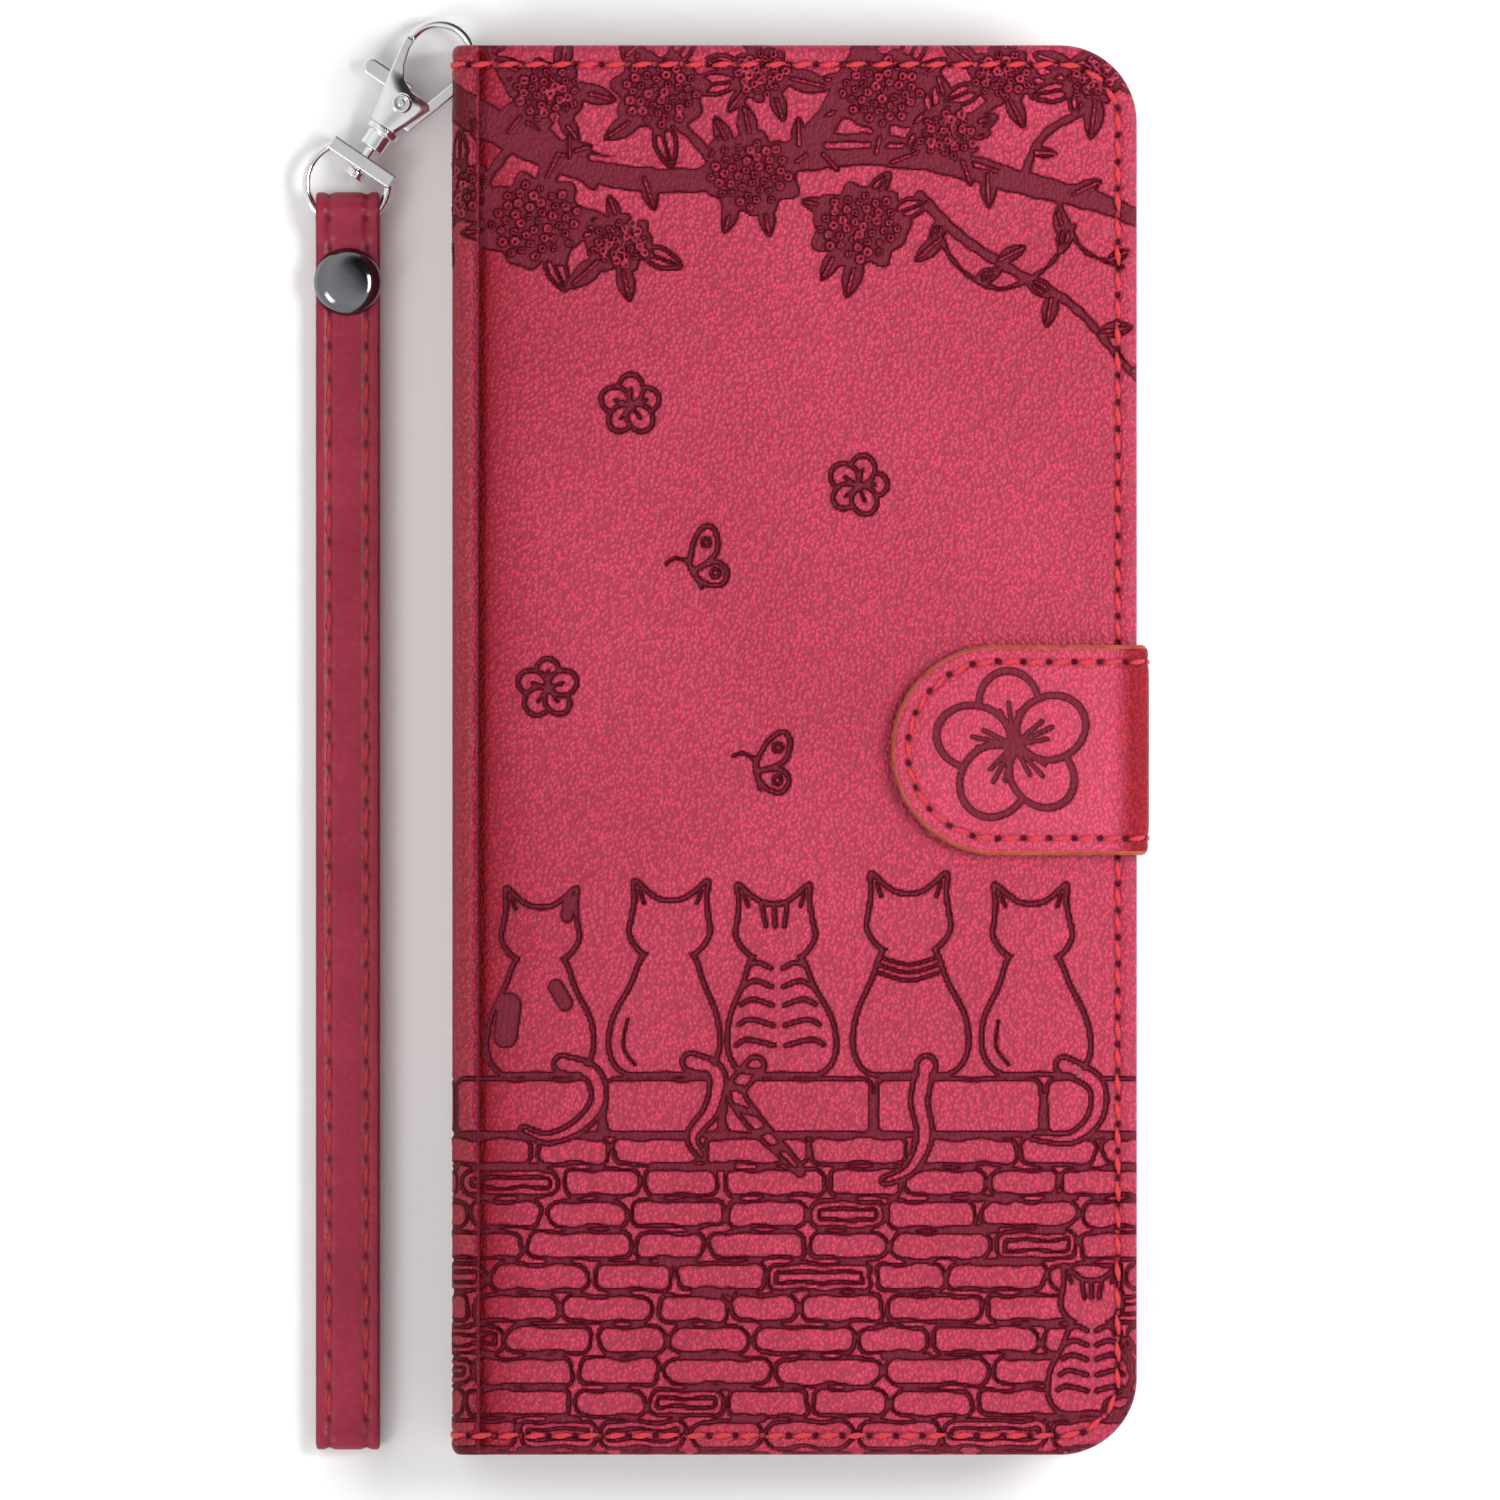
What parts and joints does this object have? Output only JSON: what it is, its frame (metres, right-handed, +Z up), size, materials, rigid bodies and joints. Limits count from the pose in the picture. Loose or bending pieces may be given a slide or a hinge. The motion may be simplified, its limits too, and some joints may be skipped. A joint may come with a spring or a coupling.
{
  "type": "phone wallet case",
  "caption": "Book-style phone wallet case: soft tray in a folding leather cover, magnetic side tab, card pockets and a wrist strap on a swivel clasp.",
  "frame": {"origin": "centre of the back cover's outer face, which lies on the table", "axes": "+X from the spine to the free edge, +Y to the top of the phone, +Z up through the closed case to the front cover"},
  "size_m": [0.1011, 0.1716, 0.0202],
  "materials": {
    "cover_leather": "pebbled cover leather, crimson, satin",
    "strap_leather": "strap leather, darker crimson, satin",
    "pocket_leather": "thin pocket leather, crimson",
    "lining": "thin lining, crimson",
    "thread": "twisted polyester sewing thread, red",
    "board": "grey-brown pressed paper board",
    "foam": "thin padding foam",
    "adhesive": "double-sided adhesive sheet",
    "tray": "soft moulded tray, dark, matt",
    "magnet": "nickel-plated disc magnet",
    "chrome": "polished nickel-chrome plate",
    "dark_chrome": "polished gunmetal plate"
  },
  "bodies": {
    "back": {"back_skin": "cover_leather", "back_board": "board", "back_lining": "lining", "back_thread": "thread", "tab_root": "cover_leather", "shell_adhesive": "adhesive", "phone_shell": "tray"},
    "spine": {"spine_skin": "cover_leather", "spine_stiffener": "board", "spine_lining": "lining", "spine_thread": "thread", "slot_patch": "strap_leather"},
    "front": {"front_skin": "cover_leather", "front_foam": "foam", "front_board": "board", "keeper_magnets": "magnet", "front_lining": "lining", "cash_pocket": "lining", "card_slot_1": "pocket_leather", "card_slot_2": "pocket_leather", "card_slot_3": "pocket_leather", "front_thread": "thread"},
    "tab_side": {"tab_side_skin": "cover_leather", "tab_side_lining": "lining", "tab_side_thread": "thread"},
    "tab_top": {"tab_skin": "cover_leather", "tab_stiffener": "board", "tab_magnets": "magnet", "tab_lining": "lining", "tab_thread": "thread"},
    "hook": {"hook_body": "chrome", "swivel_post": "chrome", "gate_rivet": "chrome", "gate_spring": "chrome"},
    "gate": {"gate": "chrome"},
    "ring": {"swivel_ring": "chrome"},
    "strap": {"strap_leather": "strap_leather", "strap_lining": "lining", "strap_thread": "thread", "strap_rivet_cap": "dark_chrome", "strap_rivet_post": "chrome"}
  },
  "joints": [
    {"name": "spine_fold", "type": "hinge", "parent": "back", "child": "spine", "pos_m": [-0.0375, 0, 0], "axis": [0, -1, 0], "range_deg": [0, 15]},
    {"name": "cover_fold", "type": "hinge", "parent": "spine", "child": "front", "pos_m": [-0.0375, 0, 0.018], "axis": [0, -1, 0], "range_deg": [0, 165]},
    {"name": "tab_side_fold", "type": "hinge", "parent": "back", "child": "tab_side", "pos_m": [0.0421, 0, 0], "axis": [0, 1, 0], "range_deg": [0, 90]},
    {"name": "tab_top_fold", "type": "hinge", "parent": "tab_side", "child": "tab_top", "pos_m": [0.0421, 0, 0.0202], "axis": [0, 1, 0], "range_deg": [0, 90]},
    {"name": "clasp_swing", "type": "hinge", "parent": "back", "child": "hook", "pos_m": [-0.0402, 0.0795, 0.0025], "axis": [0, -1, 0], "range_deg": [-30, 0]},
    {"name": "gate_pivot", "type": "hinge", "parent": "hook", "child": "gate", "pos_m": [-0.04704, 0.07751, 0.0025], "axis": [0, 0, 1], "range_deg": [0, 10], "stiffness_Nm_per_rad": 0.002},
    {"name": "swivel", "type": "hinge", "parent": "hook", "child": "ring", "pos_m": [-0.04704, 0.07751, 0.0025], "axis": [-0.5635, -0.8261, 0], "continuous": true},
    {"name": "strap_hinge", "type": "hinge", "parent": "ring", "child": "strap", "pos_m": [-0.0535, 0.06446, 0.0025], "axis": [1, 0, 0], "range_deg": [-90, 0]}
  ],
  "couplings": [
    {"joint": "spine_fold", "follows": "cover_fold", "ratio": 0.0909}
  ]
}
